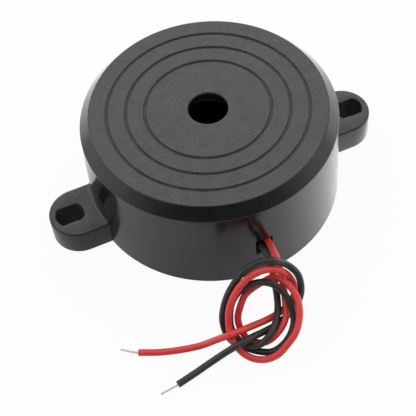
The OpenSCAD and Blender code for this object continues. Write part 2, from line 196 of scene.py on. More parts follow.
@dataclass(frozen=True)
class Finish:
    """One skin: two tones, a grain with its relief, and the gloss between its smooth and rough spots."""

    name: str
    tones: tuple[Colour, Colour]
    gloss: Pair
    grain_mm: float = 0.2
    relief_mm: float = 0.01
    patch_mm: float = 2.0
    metallic: float = 0.0
    ior: float = 1.5

    @property
    def label(self) -> str:
        """Give the material's name, which no material of the frame has."""
        return f"{self.name} finish"

    def start(self) -> tuple[bpy.types.Material, Wiring, bpy.types.Node, bpy.types.Node]:
        """Make the bare material.

        Returns:
            The material, its wiring, its shader and its grain group.
        """
        material = bpy.data.materials.new(self.label)
        material.use_nodes = True
        wiring = Wiring(material.node_tree)
        shader = material.node_tree.nodes["Principled BSDF"]
        shader.inputs["Metallic"].default_value = self.metallic
        shader.inputs["IOR"].default_value = self.ior
        grain = wiring.add("ShaderNodeGroup", node_tree=grain_group())
        grain.inputs["Grain Size"].default_value = self.grain_mm * MM
        grain.inputs["Patch Size"].default_value = self.patch_mm * MM
        return material, wiring, shader, grain

    def colour(self, wiring: Wiring, grain: bpy.types.Node) -> Socket:
        """Give the skin's colour, mottled between its two tones."""
        return wiring.blend(grain.outputs["Tone"], *self.tones)

    def material(self) -> bpy.types.Material:
        """Build the material, or give the one built before.

        Returns:
            The finished material.
        """
        if self.label in bpy.data.materials:
            return bpy.data.materials[self.label]
        material, wiring, shader, grain = self.start()
        links = material.node_tree.links
        links.new(self.colour(wiring, grain), shader.inputs["Base Color"])
        links.new(wiring.ramp(grain.outputs["Tone"], 0.0, 1.0, *self.gloss), shader.inputs["Roughness"])
        relief = {"Height": grain.outputs["Height"], "Distance": self.relief_mm * MM}
        bump = wiring.add("ShaderNodeBump", relief)
        links.new(bump.outputs[0], shader.inputs["Normal"])
        return material


@dataclass(frozen=True)
class BandedFinish(Finish):
    """A skin with painted bands across X, as on a small axial component."""

    centre_mm: float = 0.0
    bands: tuple[tuple[float, float, Colour], ...] = ()

    def colour(self, wiring: Wiring, grain: bpy.types.Node) -> Socket:
        """Give the skin's colour with each band laid over it in turn."""
        place = wiring.add("ShaderNodeTexCoord").outputs["Object"]
        along = wiring.add("ShaderNodeSeparateXYZ", {0: place}).outputs[0]
        result = super().colour(wiring, grain)
        for middle, width, paint in self.bands:
            away = wiring.math("ABSOLUTE", wiring.math("SUBTRACT", along, (self.centre_mm + middle) * MM))
            mask = wiring.math("LESS_THAN", away, width / 2 * MM)
            result = wiring.blend(mask, result, paint)
        return result


class Skin(Enum):
    """The two skins of the housing's mould, by material slot."""

    TEXTURED = 0
    POLISHED = 1


TEXTURED_PLASTIC = Finish("textured_plastic", (linear(50, 49, 48), linear(78, 76, 74)), (0.48, 0.62),
                          grain_mm=0.22, relief_mm=0.08, patch_mm=1.6)
POLISHED_PLASTIC = Finish("polished_plastic", (linear(20, 20, 20), linear(27, 27, 27)), (0.14, 0.2),
                          grain_mm=2.4, relief_mm=0.02, patch_mm=5.0)
COVER_PLASTIC = Finish("cover_plastic", (linear(30, 30, 30), linear(42, 41, 40)), (0.38, 0.52),
                       grain_mm=0.3, relief_mm=0.03)
BRASS = Finish("rolled_brass", (linear(150, 120, 62), linear(176, 142, 78)), (0.08, 0.12),
               grain_mm=0.5, relief_mm=0.001, metallic=1.0)
SILVERED = Finish("silvered_ceramic", (linear(186, 184, 176), linear(208, 206, 200)), (0.3, 0.45),
                  grain_mm=0.15, relief_mm=0.006, metallic=0.7)
SILICONE = Finish("white_silicone", (linear(222, 220, 214), linear(236, 234, 230)), (0.35, 0.5),
                  relief_mm=0.03)
LAMINATE = Finish("paper_laminate", (linear(150, 106, 56), linear(182, 136, 80)), (0.45, 0.6),
                  grain_mm=0.35, relief_mm=0.015)
EPOXY = Finish("moulded_epoxy", (linear(26, 26, 27), linear(38, 38, 38)), (0.42, 0.55),
               grain_mm=0.12, relief_mm=0.02)
TINNED = Finish("tinned_copper", (linear(222, 222, 223), linear(238, 238, 238)), (0.45, 0.6),
                grain_mm=0.3, relief_mm=0.008, metallic=1.0)
SOLDER = Finish("solder", (linear(166, 168, 170), linear(204, 206, 208)), (0.14, 0.3),
                grain_mm=0.5, relief_mm=0.01, metallic=1.0)
FERRITE = Finish("ferrite", (linear(62, 58, 56), linear(84, 80, 78)), (0.5, 0.68),
                 grain_mm=0.1, relief_mm=0.02)
COPPER = Finish("enamelled_copper", (linear(150, 72, 34), linear(190, 98, 50)), (0.18, 0.3),
                grain_mm=0.6, relief_mm=0.004, metallic=1.0)
BLUE_SLEEVE = Finish("blue_insulation", (linear(36, 92, 156), linear(50, 112, 180)), (0.3, 0.42))
RED_SLEEVE = Finish("red_sleeve", (linear(160, 34, 32), linear(184, 46, 42)), (0.3, 0.42))
YELLOW_SLEEVE = Finish("yellow_insulation", (linear(196, 170, 40), linear(220, 196, 62)), (0.3, 0.42))
RED_PVC = Finish("red_insulation", (linear(226, 60, 60), linear(242, 74, 72)), (0.3, 0.42),
                 grain_mm=0.5, relief_mm=0.01, patch_mm=4.0)
BLACK_PVC = Finish("black_insulation", (linear(40, 40, 41), linear(50, 50, 51)), (0.32, 0.44),
                   grain_mm=0.5, relief_mm=0.01, patch_mm=4.0)
RESISTOR_TONES = (linear(196, 160, 112), linear(216, 184, 138))
BROWN = linear(92, 52, 28)
BLACK = linear(28, 26, 26)
ORANGE = linear(206, 110, 36)
GOLD = linear(176, 140, 60)
BIAS_COAT = BandedFinish(
    "bias_resistor_coat", RESISTOR_TONES, (0.25, 0.38), centre_mm=1.0,
    bands=((-2.4, 0.55, BROWN), (-1.0, 0.5, BLACK), (0.0, 0.5, ORANGE), (2.4, 0.55, GOLD)))
FEEDBACK_COAT = BandedFinish(
    "feedback_resistor_coat", RESISTOR_TONES, (0.25, 0.38), centre_mm=0.0,
    bands=((-2.4, 0.55, BROWN), (-1.0, 0.5, ORANGE), (0.0, 0.5, BROWN), (2.4, 0.55, GOLD)))
DIODE_GLASS = BandedFinish(
    "diode_glass", (linear(132, 52, 30), linear(160, 70, 40)), (0.08, 0.14), centre_mm=0.0,
    bands=((1.3, 0.6, BLACK),))


def link(obj: bpy.types.Object) -> bpy.types.Object:
    """Put an object into the scene and give it back."""
    bpy.context.scene.collection.objects.link(obj)
    return obj


def loop_mesh(name: str, loops: Sequence[Loop], skins: Sequence[Skin]) -> bpy.types.Object:
    """Join loops of points into a closed ring of faces, the last loop to the first.

    Args:
        name: The new object's name.
        loops: Loops with the same number of points each, in millimetres.
        skins: Skin of the faces from each loop to the next.

    Returns:
        The new object.
    """
    form = bmesh.new()
    corners = [[form.verts.new(point * MM) for point in loop] for loop in loops]
    count = len(loops[0])
    for index, here in enumerate(corners):
        there = corners[(index + 1) % len(corners)]
        for k in range(count):
            after = (k + 1) % count
            face = form.faces.new((here[k], here[after], there[after], there[k]))
            face.material_index = skins[index].value
    obj = finish_mesh(name, form)
    dress_in_skins(obj)
    return obj


def lofted(name: str, sections: Sequence[Loop], skin: Skin) -> bpy.types.Object:
    """Join sections into a closed solid with an end face on the first and the last.

    Args:
        name: The new object's name.
        sections: Sections with the same number of points each, in millimetres.
        skin: Skin of every face.

    Returns:
        The new object.
    """
    form = bmesh.new()
    rows = [[form.verts.new(point * MM) for point in section] for section in sections]
    count = len(sections[0])
    for here, there in zip(rows, rows[1:]):
        for k in range(count):
            after = (k + 1) % count
            form.faces.new((here[k], here[after], there[after], there[k])).material_index = skin.value
    for end in (rows[0], rows[-1]):
        form.faces.new(end).material_index = skin.value
    obj = finish_mesh(name, form)
    dress_in_skins(obj)
    return obj


def dress_in_skins(obj: bpy.types.Object) -> None:
    """Give a part of the housing its two skins, in the order of their slots."""
    for finish in (TEXTURED_PLASTIC, POLISHED_PLASTIC):
        obj.data.materials.append(finish.material())


def finish_mesh(name: str, form: bmesh.types.BMesh) -> bpy.types.Object:
    """Turn a shape's faces outwards and make it an object of the scene.

    Args:
        name: The new object's name.
        form: The shape, which is freed.

    Returns:
        The new object.
    """
    bmesh.ops.recalc_face_normals(form, faces=form.faces)
    mesh = bpy.data.meshes.new(name)
    form.to_mesh(mesh)
    form.free()
    return link(bpy.data.objects.new(name, mesh))


def settle(obj: bpy.types.Object) -> None:
    """Turn what the object's modifiers make into its plain mesh.

    Args:
        obj: The object, whose modifiers are removed.
    """
    graph = bpy.context.evaluated_depsgraph_get()
    mesh = bpy.data.meshes.new_from_object(obj.evaluated_get(graph), depsgraph=graph)
    obj.modifiers.clear()
    obj.data = mesh


def combine(target: bpy.types.Object, tool: bpy.types.Object, operation: str) -> None:
    """Add a solid to another or cut it away.

    Args:
        target: The solid that stays.
        tool: The other solid, which is deleted.
        operation: UNION or DIFFERENCE.
    """
    step = target.modifiers.new(operation.lower(), "BOOLEAN")
    step.object = tool
    step.operation = operation
    step.solver = "EXACT"
    settle(target)
    bpy.data.objects.remove(tool)


def smooth(obj: bpy.types.Object, sharp_deg: float) -> None:
    """Shade an object smooth, apart from the edges that turn by more than an angle."""
    obj.data.shade_smooth()
    obj.data.set_sharp_from_angle(angle=math.radians(sharp_deg))


@dataclass(frozen=True)
class Corner:
    """A corner of the housing's section: its place, its rounding and the skin that follows it."""

    radius: float
    height: float
    rounding: float
    skin: Skin

    def place(self) -> Vector:
        """Give the corner's place in the section."""
        return Vector((self.radius, self.height))


class Section:
    """A closed section with rounded corners, ready to be turned round the Z axis."""

    STEPS = 5
    SUPPORT = 0.12
    SHORTEST = 6 * SUPPORT

    def __init__(self, corners: Sequence[Corner]) -> None:
        """Round every corner of the section.

        Args:
            corners: The section's corners in order.
        """
        self.points: list[Vector] = []
        self.skins: list[Skin] = []
        for index, corner in enumerate(corners):
            self._round(corners[index - 1], corner, corners[(index + 1) % len(corners)])

    def _put(self, point: Vector, skin: Skin) -> None:
        """Add one point and the skin that follows it."""
        self.points.append(point)
        self.skins.append(skin)

    def _round(self, before: Corner, corner: Corner, after: Corner) -> None:
        """Add a corner's arc, with a point on each straight beside it that keeps the straight flat."""
        to_before = before.place() - corner.place()
        to_after = after.place() - corner.place()
        half = to_before.angle(to_after) / 2
        reach = corner.rounding / math.tan(half)
        bisector = (to_before.normalized() + to_after.normalized()).normalized()
        centre = corner.place() + bisector * corner.rounding / math.sin(half)
        start = corner.place() + to_before.normalized() * reach
        end = corner.place() + to_after.normalized() * reach
        if to_before.length > reach + self.SHORTEST:
            self._put(start + to_before.normalized() * self.SUPPORT, before.skin)
        for step in range(self.STEPS + 1):
            arm = (start - centre).normalized().slerp((end - centre).normalized(), step / self.STEPS)
            self._put(centre + arm * corner.rounding, corner.skin)
        if to_after.length > reach + self.SHORTEST:
            self._put(end + to_after.normalized() * self.SUPPORT, corner.skin)

    def turned(self, name: str, segments: int) -> bpy.types.Object:
        """Turn the section round the Z axis.

        Args:
            name: The new object's name.
            segments: Number of steps round the axis.

        Returns:
            The turned solid.
        """
        turns = [2 * math.pi * k / segments for k in range(segments)]
        ways = [(math.cos(turn), math.sin(turn)) for turn in turns]
        loops = [[Vector((p.x * x, p.x * y, p.y)) for x, y in ways] for p in self.points]
        return loop_mesh(name, loops, self.skins)


@dataclass
class Ear:
    """A slotted mounting ear, drawn as loops round the centre of its slot. Sizes are in millimetres."""

    tip_x: float
    root_x: float
    thickness: float = 4.8
    width: float = 9.6
    fillet_r: float = 0.8
    slot_edge: float = 3.4
    slot_w: float = 3.5
    slot_l: float = 5.0
    slot_outer_r: float = 3.0
    slot_inner_r: float = 2.4
    slot_corners: Pair = (0.9, 0.3)
    top_round: float = 0.28
    base_round: float = 0.15
    slot_round: float = 0.18
    points: int = 200
    arc_steps: int = 4
    fillet_rows: int = 25
    halvings: int = 32
    sink: float = 0.02
    buried: float = 0.5

    @property
    def slot_x(self) -> float:
        """Give the place of the slot's centre."""
        return self.tip_x - self.slot_edge

    @property
    def search_r(self) -> float:
        """Give a distance from the slot's centre that lies outside of every plan."""
        return 3 * self.width

    def within_plan(self, x: float, y: float, inset: float) -> bool:
        """Say whether a point lies in the ear's plan, drawn in by an inset."""
        tip_r = self.width / 2
        past = max(x - self.tip_x + tip_r, 0.0)
        return x > self.root_x and math.hypot(past, y) < tip_r - inset

    def within_slot(self, x: float, y: float, growth: float) -> bool:
        """Say whether a point lies in the slot's plan, widened by a growth."""
        along = x - self.slot_x
        outer_centre = self.slot_l / 2 - self.slot_outer_r
        inner_centre = self.slot_inner_r - self.slot_l / 2
        corner = self.slot_corners[0] if along > 0 else self.slot_corners[1]
        past = max(abs(along) - self.slot_l / 2 + self.slot_w / 2 - corner, 0.0)
        return (math.hypot(past, y) < self.slot_w / 2 + growth
                and math.hypot(along - outer_centre, y) < self.slot_outer_r + growth
                and math.hypot(along - inner_centre, y) < self.slot_inner_r + growth)

    def loop(self, within: Callable[[float, float, float], bool], offset: float, height: float) -> Loop:
        """Find a plan's edge along rays from the slot's centre.

        Args:
            within: Test for a point of the plan.
            offset: Offset that the test takes.
            height: Height of the loop.

        Returns:
            One point for each ray.
        """
        found = []
        for k in range(self.points):
            angle = 2 * math.pi * k / self.points
            way = Vector((math.cos(angle), math.sin(angle)))
            low, high = 0.0, self.search_r
            for _ in range(self.halvings):
                middle = (low + high) / 2
                if within(self.slot_x + way.x * middle, way.y * middle, offset):
                    low = middle
                else:
                    high = middle
            found.append(Vector((self.slot_x + way.x * low, way.y * low, height)))
        return found

    def edge(self, radius: float, rising: bool) -> Iterator[tuple[float, float]]:
        """Give a rounded edge's offsets and its depths below the face, from wall to face or back."""
        steps = range(self.arc_steps + 1)
        for step in steps if rising else reversed(steps):
            angle = math.pi / 2 * step / self.arc_steps
            yield radius * (1 - math.cos(angle)), radius * (1 - math.sin(angle))

    def build(self, side: int) -> bpy.types.Object:
        """Build one ear.

        Args:
            side: 1 for the ear on +X and -1 for the other.

        Returns:
            The ear's closed solid.
        """
        loops: list[Loop] = []
        skins: list[Skin] = []
        top = self.thickness
        for offset, depth in self.edge(self.base_round, rising=False):
            loops.append(self.loop(self.within_plan, offset, depth))
            skins.append(Skin.POLISHED)
        for offset, depth in self.edge(self.top_round, rising=True):
            loops.append(self.loop(self.within_plan, offset, top - depth))
            skins.append(Skin.POLISHED)
        skins[-1] = Skin.TEXTURED
        for offset, depth in self.edge(self.slot_round, rising=False):
            loops.append(self.loop(self.within_slot, offset, top - depth))
            skins.append(Skin.TEXTURED)
        for offset, depth in self.edge(self.base_round, rising=True):
            loops.append(self.loop(self.within_slot, offset, depth))
            skins.append(Skin.TEXTURED)
        flipped = [[Vector((side * p.x, p.y, p.z)) for p in loop] for loop in loops]
        return loop_mesh(f"ear_{side}", flipped, skins)

    def fillet(self, side: int, wall_r: float) -> bpy.types.Object:
        """Build the fillet between the wall and an ear's top.

        Args:
            side: 1 for the ear on +X and -1 for the other.
            wall_r: Radius of the wall at the fillet.

        Returns:
            The fillet's closed solid.
        """
        foot, top, r = wall_r - self.sink, self.thickness - self.sink, self.fillet_r
        back, under = foot - self.buried, top - self.buried
        outline = [(back, top + r), (back, under), (foot + r, under)]
        steps = 2 * self.arc_steps
        for step in range(steps + 1):
            angle = math.pi / 2 * step / steps
            outline.append((foot + r - r * math.sin(angle), top + r - r * math.cos(angle)))
        half = self.width / 2 - self.top_round
        sections = []
        for k in range(self.fillet_rows):
            y = half * (2 * k / (self.fillet_rows - 1) - 1)
            sections.append([Vector((side * math.sqrt(radius ** 2 - y ** 2), y, z))
                             for radius, z in outline])
        return lofted(f"fillet_{side}", sections, Skin.TEXTURED)


@dataclass
class Housing:
    """The one-piece moulded housing. Sizes are in millimetres."""

    base_r: float
    body_h: float
    tip_x: float
    seat_z: float
    board_top: float
    cover_t: float = 1.6
    rim_r: float = 21.0
    chamfer_w: float = 1.6
    chamfer_h: float = 1.9
    wall: float = 1.6
    top_t: float = 2.0
    hole_r: float = 3.25
    groove_count: int = 3
    groove_inset: float = 3.0
    groove_pitch: float = 3.1
    groove_w: float = 0.6
    groove_floor_w: float = 0.3
    groove_depth: float = 0.3
    groove_round: float = 0.06
    hole_round: float = 0.25
    mouth_round: float = 0.2
    face_round: float = 0.25
    rim_round: float = 0.3
    base_round: float = 0.3
    seam_round: float = 0.1
    inner_round: float = 0.15
    ceiling_round: float = 0.3
    chamber_r: float = 16.5
    cover_shoulder: float = 0.7
    rib_count: int = 4
    rib_reach: float = 1.4
    rib_w: float = 2.0
    window: tuple[float, float, float, float] = (-1.65, 1.25, 5.7, 9.2)
    cut_past: float = 1.0
    segments: int = 192
    sharp_deg: float = 38.0

    def corners(self) -> list[Corner]:
        """List the section's corners from the sound hole, over the outside and back through the inside."""
        textured, polished = Skin.TEXTURED, Skin.POLISHED
        cavity_r = self.rim_r - self.wall
        rebate_r = cavity_r + self.cover_shoulder
        face_r = self.rim_r - self.chamfer_w
        ceiling = self.body_h - self.top_t
        found = [Corner(self.hole_r, ceiling, self.mouth_round, polished),
                 Corner(self.hole_r, self.body_h, self.hole_round, textured)]
        for k in reversed(range(self.groove_count)):
            middle = face_r - self.groove_inset - k * self.groove_pitch
            floor = self.body_h - self.groove_depth
            for half, height in ((-self.groove_w / 2, self.body_h), (-self.groove_floor_w / 2, floor),
                                 (self.groove_floor_w / 2, floor), (self.groove_w / 2, self.body_h)):
                found.append(Corner(middle + half, height, self.groove_round, textured))
        found += [Corner(face_r, self.body_h, self.face_round, polished),
                  Corner(self.rim_r, self.body_h - self.chamfer_h, self.rim_round, polished),
                  Corner(self.base_r, 0.0, self.base_round, textured),
                  Corner(rebate_r, 0.0, self.inner_round, textured),
                  Corner(rebate_r, self.cover_t, self.seam_round, textured),
                  Corner(cavity_r, self.cover_t, self.seam_round, textured),
                  Corner(cavity_r, self.seat_z, self.inner_round, textured),
                  Corner(self.chamber_r, self.seat_z, self.inner_round, textured),
                  Corner(self.chamber_r, ceiling, self.ceiling_round, textured)]
        return found

    def wall_r(self, height: float) -> float:
        """Give the tapered wall's radius at a height."""
        return self.base_r - (self.base_r - self.rim_r) * height / (self.body_h - self.chamfer_h)

    def block(self, name: str, low: Vector, high: Vector, turn_deg: float = 0.0) -> bpy.types.Object:
        """Make a plain block between two corners, turned round the Z axis."""
        form = bmesh.new()
        bmesh.ops.create_cube(form, size=1.0)
        middle, size = (low + high) / 2 * MM, (high - low) * MM
        turn = Matrix.Rotation(math.radians(turn_deg), 4, "Z")
        form.transform(turn @ Matrix.Translation(middle) @ Matrix.Diagonal((*size, 1.0)))
        block = finish_mesh(name, form)
        dress_in_skins(block)
        return block

    def build(self) -> bpy.types.Object:
        """Build the housing.

        Returns:
            The dressed housing.
        """
        shell = Section(self.corners()).turned("housing_shell", self.segments)
        for side in (1, -1):
            ear = Ear(self.tip_x, self.rim_r - self.wall / 2)
            combine(shell, ear.build(side), "UNION")
            combine(shell, ear.fillet(side, self.wall_r(ear.thickness + ear.fillet_r)), "UNION")
        rib_r = self.rim_r - self.wall - self.rib_reach
        for k in range(self.rib_count):
            low = Vector((rib_r, -self.rib_w / 2, self.board_top))
            high = Vector((self.rim_r - self.wall / 2, self.rib_w / 2, self.seat_z + self.top_t / 2))
            combine(shell, self.block("rib", low, high, 360 * (k + 0.5) / self.rib_count), "UNION")
        left, right, sill, head = self.window
        outer_y, inner_y = -self.base_r - self.cut_past, self.wall - self.rim_r + self.cut_past / 2
        opening = self.block("opening", Vector((left, outer_y, sill)), Vector((right, inner_y, head)))
        combine(shell, opening, "DIFFERENCE")
        smooth(shell, self.sharp_deg)
        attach(shell, BODY)
        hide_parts("housing")
        return shell


def smooth_route(points: Sequence[Vector], steps: int, lowest: float) -> list[Vector]:
    """Run one smooth curve through a route's points.

    Args:
        points: The route's points.
        steps: Number of steps from one point to the next.
        lowest: Height that the curve stays above.

    Returns:
        Points along the curve.
    """
    ends = [2 * points[0] - points[1], *points, 2 * points[-1] - points[-2]]
    found = []
    for a, b, c, d in zip(ends, ends[1:], ends[2:], ends[3:]):
        knots = [0.0]
        for first, second in ((a, b), (b, c), (c, d)):
            knots.append(knots[-1] + math.sqrt((second - first).length))

        def between(first: Vector, second: Vector, low: int, high: int, t: float) -> Vector:
            """Give the point between two others at one value of the curve's parameter."""
            return first.lerp(second, (t - knots[low]) / (knots[high] - knots[low]))

        for step in range(steps):
            t = knots[1] + (knots[2] - knots[1]) * step / steps
            ab, bc, cd = between(a, b, 0, 1, t), between(b, c, 1, 2, t), between(c, d, 2, 3, t)
            abc, bcd = between(ab, bc, 0, 2, t), between(bc, cd, 1, 3, t)
            found.append(between(abc, bcd, 1, 2, t))
    found.append(points[-1].copy())
    return [Vector((p.x, p.y, max(p.z, lowest))) for p in found]


def curve_object(name: str, lines: Sequence[Sequence[Vector]]) -> bpy.types.Object:
    """Make a curve object with one open spline for each line.

    Args:
        name: The new object's name.
        lines: Points of each spline, in millimetres.

    Returns:
        The new object.
    """
    curve = bpy.data.curves.new(name, "CURVE")
    curve.dimensions = "3D"
    for line in lines:
        spline = curve.splines.new("POLY")
        spline.points.add(len(line) - 1)
        for point, place in zip(spline.points, line):
            point.co = (*(place * MM), 1.0)
    return link(bpy.data.objects.new(name, curve))


class WireTree:
    """Geometry Nodes that sweep one or more strands along a curve."""

    INPUTS = {
        "Strands": "NodeSocketInt",
        "Strand Radius": "NodeSocketFloat",
        "Lay Radius": "NodeSocketFloat",
        "Twist per Metre": "NodeSocketFloat",
        "Sides": "NodeSocketInt",
        "Finish": "NodeSocketMaterial",
    }
    SHARP_DEG = 50.0

    def __init__(self) -> None:
        """Build the tree."""
        self.tree = bpy.data.node_groups.new("stranded wire", "GeometryNodeTree")
        face = self.tree.interface
        face.new_socket("Geometry", in_out="INPUT", socket_type="NodeSocketGeometry")
        self.sockets = {name: face.new_socket(name, in_out="INPUT", socket_type=kind).identifier
                        for name, kind in self.INPUTS.items()}
        face.new_socket("Geometry", in_out="OUTPUT", socket_type="NodeSocketGeometry")
        wiring = Wiring(self.tree)
        given = wiring.add("NodeGroupInput").outputs
        along = wiring.add("GeometryNodeSplineParameter").outputs["Length"]
        tilt = wiring.math("MULTIPLY", along, given["Twist per Metre"])
        twist = {"Curve": given["Geometry"], "Tilt": tilt}
        path = wiring.add("GeometryNodeSetCurveTilt", twist).outputs[0]
        strand = wiring.add("GeometryNodeCurvePrimitiveCircle",
                            {"Resolution": given["Sides"], "Radius": given["Strand Radius"]}).outputs[0]
        lay = wiring.add("GeometryNodeCurvePrimitiveCircle",
                         {"Resolution": given["Strands"], "Radius": given["Lay Radius"]}).outputs[0]
        outer = wiring.add("GeometryNodeInstanceOnPoints", {"Points": lay, "Instance": strand}).outputs[0]
        joined = wiring.add("GeometryNodeJoinGeometry")
        for source in (strand, outer):
            self.tree.links.new(source, joined.inputs[0])
        profile = wiring.add("GeometryNodeRealizeInstances", {0: joined.outputs[0]}).outputs[0]
        parts = {"Curve": path, "Profile Curve": profile, "Fill Caps": True}
        swept = wiring.add("GeometryNodeCurveToMesh", parts).outputs[0]
        whole = wiring.add("GeometryNodeRealizeInstances", {0: swept}).outputs[0]
        coat = {"Geometry": whole, "Material": given["Finish"]}
        dressed = wiring.add("GeometryNodeSetMaterial", coat).outputs[0]
        self.tree.links.new(dressed, wiring.add("NodeGroupOutput").inputs[0])

    def sweep(self, name: str, lines: Sequence[Sequence[Vector]],
              values: dict[str, object]) -> bpy.types.Object:
        """Sweep the wire along lines.

        Args:
            name: The new object's name.
            lines: Points of each line, in millimetres.
            values: Value of each of the tree's inputs by name.

        Returns:
            The wire as a plain mesh object.
        """
        path = curve_object(f"{name}_path", lines)
        step = path.modifiers.new("wire", "NODES")
        step.node_group = self.tree
        for label, value in values.items():
            step[self.sockets[label]] = value
        graph = bpy.context.evaluated_depsgraph_get()
        mesh = bpy.data.meshes.new_from_object(path.evaluated_get(graph), depsgraph=graph)
        bpy.data.objects.remove(path)
        wire = link(bpy.data.objects.new(name, mesh))
        smooth(wire, self.SHARP_DEG)
        return wire


@dataclass
class Lead:
    """One insulated lead with its bare ends. Sizes are in millimetres."""

    colour: str
    finish: Finish
    route: tuple[Triple, ...]
    end_way: Triple
    hole: Pair
    length: float
    board_top: float
    solder_end: float
    diameter: float = 1.1
    conductor_d: float = 0.35
    strip_l: float = 3.0
    strands: int = 7
    strands_across: int = 3
    strand_sides: int = 10
    lay_length: float = 7.0
    hole_entry: float = 0.15
    exit_point: int = 3
    ground_gap: float = 0.03
    route_steps: int = 10
    bare_steps: tuple[int, int] = (6, 8)
    bevel_steps: int = 5

    def points(self) -> list[Vector]:
        """Give the route's points as vectors."""
        return [Vector(p) for p in self.route]

    def bare_ends(self) -> list[list[Vector]]:
        """Give the bare conductor's two lines, one inside the housing and one at the free end."""
        route = self.points()
        back = (route[0] - route[1]).normalized()
        radius = self.conductor_d / 2
        inner = [route[0], route[0] + back * self.conductor_d,
                 Vector((self.hole[0], self.hole[1] - radius, self.board_top + radius)),
                 Vector((*self.hole, self.board_top - self.hole_entry)),
                 Vector((*self.hole, self.solder_end))]
        out = (route[-1] - route[-2]).normalized()
        bend = route[-1] + out * self.conductor_d
        tip = bend + Vector(self.end_way).normalized() * (self.strip_l - self.conductor_d)
        inner_steps, outer_steps = self.bare_steps
        outer = smooth_route([route[-1], bend, tip], outer_steps, radius + self.ground_gap)
        return [smooth_route(inner, inner_steps, 0.0), outer]

    def build(self, tree: WireTree) -> bpy.types.Object:
        """Build the lead and its conductor.

        Args:
            tree: The nodes that sweep the strands.

        Returns:
            The insulation.
        """
        strand_r = self.conductor_d / 2 / self.strands_across
        conductor = tree.sweep(f"{self.colour}_strands", self.bare_ends(), {
            "Strands": self.strands - 1,
            "Strand Radius": strand_r * MM,
            "Lay Radius": 2 * strand_r * MM,
            "Twist per Metre": 2 * math.pi / (self.lay_length * MM),
            "Sides": self.strand_sides,
            "Finish": TINNED.material(),
        })
        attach(conductor, BODY)
        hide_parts(f"{self.colour}_conductor")
        line = smooth_route(self.points(), self.route_steps, self.diameter / 2 + self.ground_gap)
        insulation = curve_object(f"{self.colour}_insulation", [line])
        insulation.data.bevel_depth = self.diameter / 2 * MM
        insulation.data.bevel_resolution = self.bevel_steps
        insulation.data.use_fill_caps = True
        insulation.data.materials.append(self.finish.material())
        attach(insulation, BODY)
        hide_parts(f"{self.colour}_lead")
        exit_at = self.points()[self.exit_point] * MM
        return insulation


# Each route runs from the board through the window, round the tangle and out to the bare end, in millimetres
RED_ROUTE = (
    (3.5, -12, 5.5), (2.6, -14.5, 6.2), (1, -17.4, 7.5), (0.5, -20.1, 8.1), (0.4, -22.7, 8.3),
    (0.3, -25.2, 7.7), (0, -27.2, 5.5), (-0.8, -29.8, 4.4), (-1.9, -32.3, 3.5), (-3.8, -33.7, 2.7),
    (-6.2, -33.9, 1.6), (-8.1, -32.4, 1.2), (-8.7, -30.5, 1.8), (-8.6, -29.1, 3.2), (-7.7, -28.2, 4.9),
    (-6.4, -27.3, 6), (-4.7, -27, 6.7), (-3, -27, 7.2), (-1.5, -27.3, 7.8), (-0.4, -28.4, 7.5),
    (0.2, -29.9, 7.3), (0.4, -31.6, 6.6), (0, -33.2, 5.8), (-0.8, -34.6, 5), (-2.1, -35.9, 4.2),
    (-3.7, -36.5, 3.1), (-5.3, -36.8, 1.9), (-7.1, -36.4, 1), (-8.7, -35.4, 0.7), (-9.9, -34.2, 1.2),
    (-10.6, -32.9, 2.1), (-10.8, -31.3, 2.8), (-10.4, -29.7, 3.8), (-9.8, -28.6, 5.6), (-8.6, -27.7, 7.3),
    (-7, -27, 8.6), (-5.2, -26.8, 9.7), (-3.3, -27.1, 10.6), (-1.4, -27.4, 10.1), (0.1, -27.9, 8.8),
    (1.1, -28.5, 6.6), (1, -29.5, 5), (0, -30.1, 3.3), (-1.8, -30.5, 2.6), (-3.9, -31, 2.8),
    (-7.3, -31.5, 3.6), (-10.9, -31.7, 4.1), (-13.1, -30.9, 2.8), (-15.5, -30, 1.3), (-18.6, -29, 0.7),
    (-21.5, -28, 0.6), (-24.6, -26.6, 0.6),
)
BLACK_ROUTE = (
    (-3.5, -12, 5.5), (-2.8, -14.5, 6), (-1.5, -17.4, 6.9), (-0.9, -20.1, 7.4), (-0.6, -22.2, 7.6),
    (-0.6, -24.2, 6.9), (-0.9, -25.9, 5.1), (-1.5, -28.2, 4.4), (-2.4, -30.5, 3.9), (-3.8, -32.6, 3.7),
    (-5.5, -34, 3.3), (-7.2, -34.4, 2.6), (-8.8, -33.6, 2), (-9.7, -31.9, 1.7), (-10, -29.7, 1.9),
    (-9.6, -28.3, 3.4), (-8.7, -27.2, 5), (-7.2, -26.7, 6.6), (-5.7, -27.1, 8), (-3.9, -27.6, 8.4),
    (-2.4, -28.5, 8.2), (-1.3, -29.6, 7.1), (-0.8, -31.1, 6), (-0.8, -32.5, 4.8), (-1.2, -33.7, 3.7),
    (-2.4, -34.9, 2.6), (-4, -35.4, 1.3), (-5.8, -35.4, 0.7), (-7.6, -34.4, 0.6), (-9.1, -33, 0.6),
    (-10.4, -31.5, 0.6), (-10.9, -29.6, 1), (-10.8, -28.1, 2.5), (-10.1, -27.2, 4.7), (-8.9, -26.4, 6.6),
    (-7.2, -25.7, 8.3), (-5.4, -25.6, 10.1), (-3.3, -26, 11.4), (-1.3, -26.7, 11.4), (0.7, -27.1, 9.7),
    (1.8, -28.7, 8.6), (1.8, -30.1, 6.9), (1.2, -30.8, 4.8), (-0.1, -31.4, 3.3), (-1.6, -31.5, 2),
    (-3.6, -32.2, 2.2), (-5.8, -32.6, 2.5), (-8, -33.1, 3.3), (-10.2, -33.5, 3.5), (-12.2, -33.2, 2.3),
    (-14.7, -33.1, 1), (-17.7, -33.6, 0.6), (-21.1, -34.3, 0.6),
)


